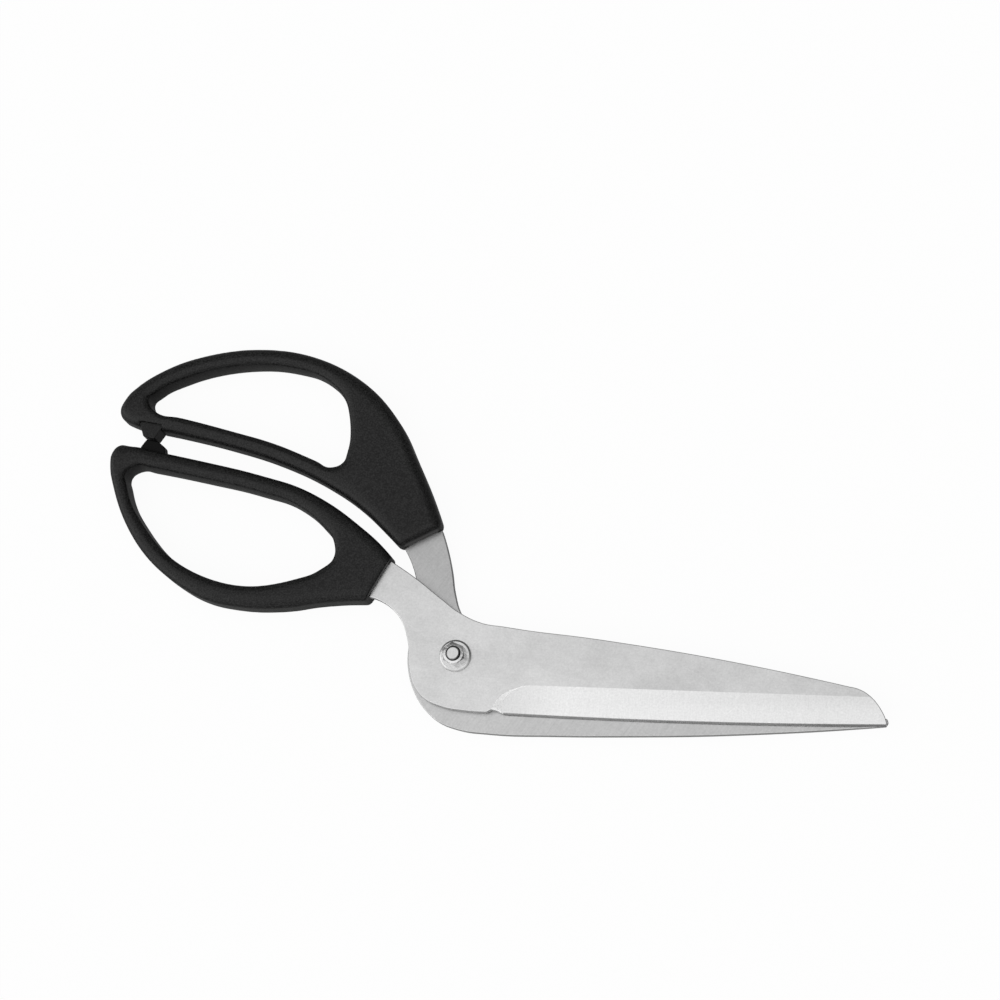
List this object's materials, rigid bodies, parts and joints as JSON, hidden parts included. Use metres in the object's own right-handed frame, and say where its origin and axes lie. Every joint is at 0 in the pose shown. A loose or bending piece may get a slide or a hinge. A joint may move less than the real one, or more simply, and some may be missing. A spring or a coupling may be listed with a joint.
{
  "type": "offset-handle shears",
  "caption": "Long-bladed shears with bent, bevelled steel blades, black moulded loop handles with stop bumpers, and a nut-and-bolt pivot.",
  "frame": {"origin": "on the pivot axis, in the plane on which the handle backs and the bolt head lie", "axes": "+X from the pivot towards the blade tips, +Z along the pivot bolt from its head to its nut, +Y on the upper handle's side"},
  "size_m": [0.3043, 0.1524, 0.0155],
  "materials": {
    "blade_steel": "satin, ground across the bevels",
    "handle_plastic": "matte black with a fine moulded texture",
    "bumper_plastic": "smooth matte black",
    "bolt_steel": "plain turned steel",
    "nut_chrome": "bright plated",
    "washer_steel": "plated"
  },
  "bodies": {
    "rear_half": {"rear_blade": "blade_steel", "upper_handle": "handle_plastic", "upper_bumper": "bumper_plastic", "pivot_bolt": "bolt_steel", "pivot_nut": "nut_chrome", "front_washer": "washer_steel", "glide_washer": "washer_steel"},
    "front_half": {"front_blade": "blade_steel", "lower_handle": "handle_plastic", "lower_bumper": "bumper_plastic"}
  },
  "joints": [
    {"name": "pivot", "type": "hinge", "parent": "rear_half", "child": "front_half", "pos_m": [0, 0, 0], "axis": [0, 0, 1], "range_deg": [0, 80]}
  ]
}
